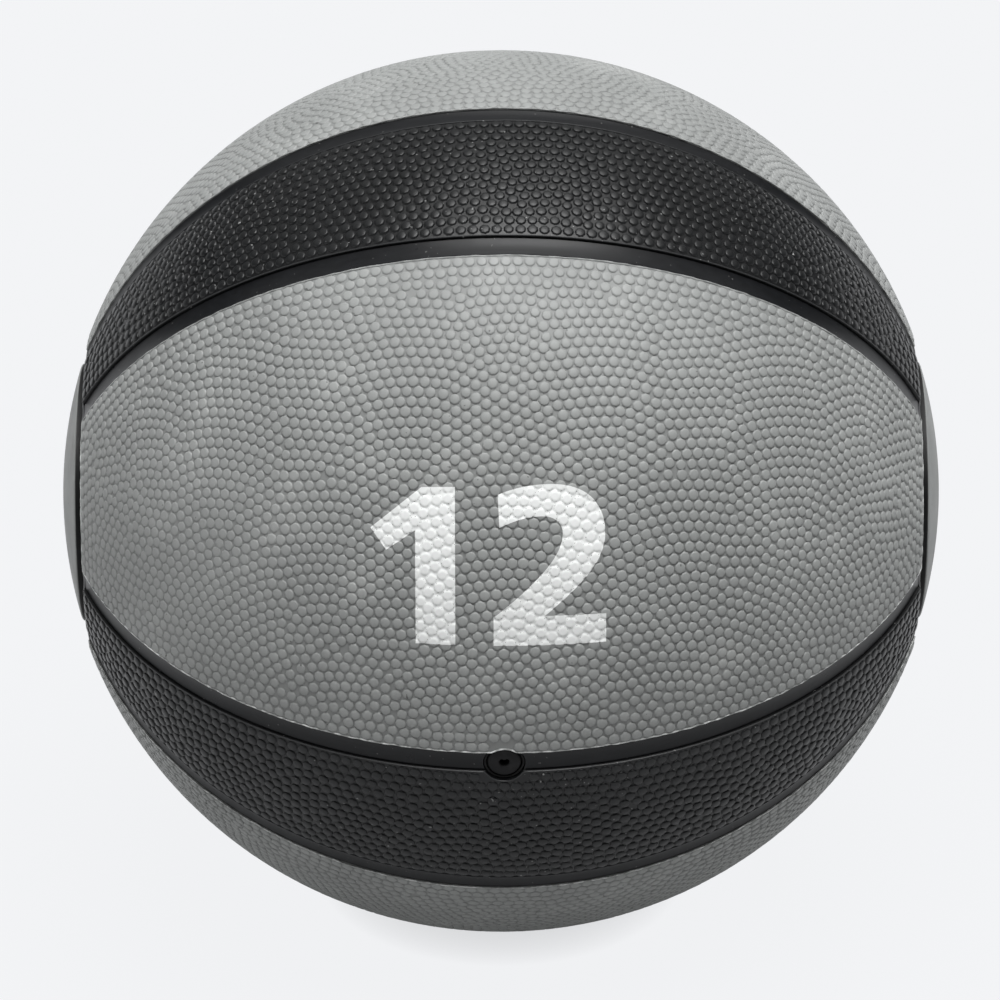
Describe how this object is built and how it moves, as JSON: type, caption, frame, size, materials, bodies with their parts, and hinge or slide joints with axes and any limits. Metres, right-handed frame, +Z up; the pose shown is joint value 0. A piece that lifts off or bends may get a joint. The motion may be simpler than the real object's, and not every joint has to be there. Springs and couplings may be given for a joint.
{
  "type": "medicine ball",
  "caption": "Round rubber medicine ball with pebbled grey panels, black bands and smooth channels, a weighted wall round an air bladder, and an inflation valve.",
  "frame": {"origin": "centre of the ball", "axes": "+X along the pole axis of the panel pattern, through the right end cap, with the printed front panel and the valve facing -Y; +Z up, with the ball resting on its bottom panel"},
  "size_m": [0.24, 0.2398, 0.2398],
  "materials": {
    "grey_rubber": "matt moulded rubber with round pebbles",
    "black_rubber": "satin moulded rubber with round pebbles",
    "channel_rubber": "smooth satin moulded rubber",
    "white_print": "matt white screen print",
    "core_rubber": "dull filled rubber",
    "nylon_thread": "wound thread set in rubber solution",
    "butyl_rubber": "smooth dull butyl sheet",
    "valve_stem_rubber": "smooth moulded rubber",
    "valve_plug_rubber": "smooth soft moulded rubber"
  },
  "bodies": {
    "ball": {"bladder": "butyl_rubber", "nylon_winding": "nylon_thread", "core_half_valve_side": "core_rubber", "core_half_far_side": "core_rubber", "grey_panel_front": "grey_rubber", "grey_panel_top": "grey_rubber", "grey_panel_rear": "grey_rubber", "grey_panel_bottom": "grey_rubber", "black_band_upper_front": "black_rubber", "black_band_upper_rear": "black_rubber", "black_band_lower_rear": "black_rubber", "black_band_lower_front": "black_rubber", "channel_front_upper": "channel_rubber", "channel_front_lower_left": "channel_rubber", "channel_front_lower_right": "channel_rubber", "channel_top_front": "channel_rubber", "channel_top_rear": "channel_rubber", "channel_rear_upper": "channel_rubber", "channel_rear_lower": "channel_rubber", "channel_bottom_rear": "channel_rubber", "channel_bottom_front": "channel_rubber", "end_cap_left": "grey_rubber", "end_cap_right": "grey_rubber", "cap_ring_left": "channel_rubber", "cap_ring_right": "channel_rubber", "valve_stem": "valve_stem_rubber"},
    "plug": {"valve_plug": "valve_plug_rubber"}
  },
  "joints": [
    {"name": "plug_slide", "type": "slide", "parent": "ball", "child": "plug", "axis": [0, -0.9889, -0.1483], "range_m": [0, 0.018]}
  ]
}
